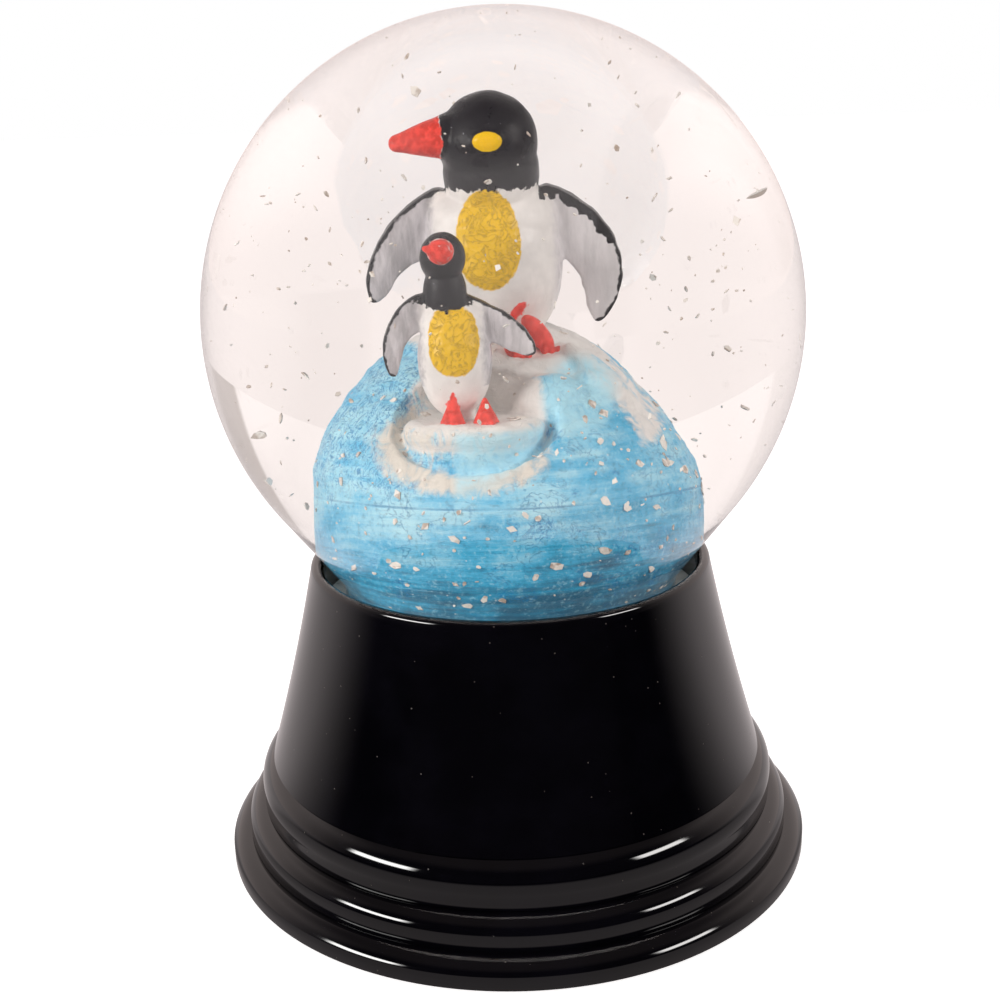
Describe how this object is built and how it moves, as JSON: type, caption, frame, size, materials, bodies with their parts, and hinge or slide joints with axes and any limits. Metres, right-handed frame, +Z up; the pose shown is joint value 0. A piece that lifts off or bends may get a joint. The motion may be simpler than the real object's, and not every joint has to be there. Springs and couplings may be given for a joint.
{
  "type": "snow globe",
  "caption": "Clear water-filled glass globe on a stepped gloss black plinth, with two penguins on an ice hill and loose snow flakes that swirl and sink when it is turned.",
  "frame": {"origin": "centre of the underside, on the surface that the globe stands on", "axes": "+Z up through the globe's centre, -Y towards the front, where the small penguin stands, +X to the viewer's right"},
  "size_m": [0.0472, 0.0472, 0.0653],
  "materials": {
    "plinth_black": "polished black moulding",
    "felt": "short black felt",
    "card": "pressed grey-brown card",
    "plaster": "set casting plaster",
    "stopper_rubber": "moulded black rubber",
    "seal_rubber": "soft sealing bead",
    "clear_glass": "clear blown glass",
    "water": "clear water",
    "ice_paint": "brushed cerulean and white enamel over cast resin",
    "penguin_paint": "hand-painted enamel in white, black, yellow and red",
    "snow": "thin off-white flakes"
  },
  "bodies": {
    "globe": {"base_shell": "plinth_black", "felt_pad": "felt", "base_cover": "card", "plaster_seat": "plaster", "neck_stopper": "stopper_rubber", "stopper_seal": "seal_rubber", "glass_globe": "clear_glass", "water_fill": "water", "scene_drum": "ice_paint", "ice_hill": "ice_paint", "large_penguin": "penguin_paint", "small_penguin": "penguin_paint", "settled_flakes": "snow"},
    "swirling_snow": {"swirling_flakes": "snow"},
    "falling_snow": {"falling_flakes": "snow"}
  },
  "joints": [
    {"name": "snow_swirl", "type": "hinge", "parent": "globe", "child": "swirling_snow", "pos_m": [0, 0, 0.0428], "axis": [0, 0, 1], "continuous": true, "deforming": ["water_fill"]},
    {"name": "snow_fall", "type": "slide", "parent": "swirling_snow", "child": "falling_snow", "axis": [0, 0, -1], "range_m": [0, 0.004], "deforming": ["water_fill"]}
  ]
}
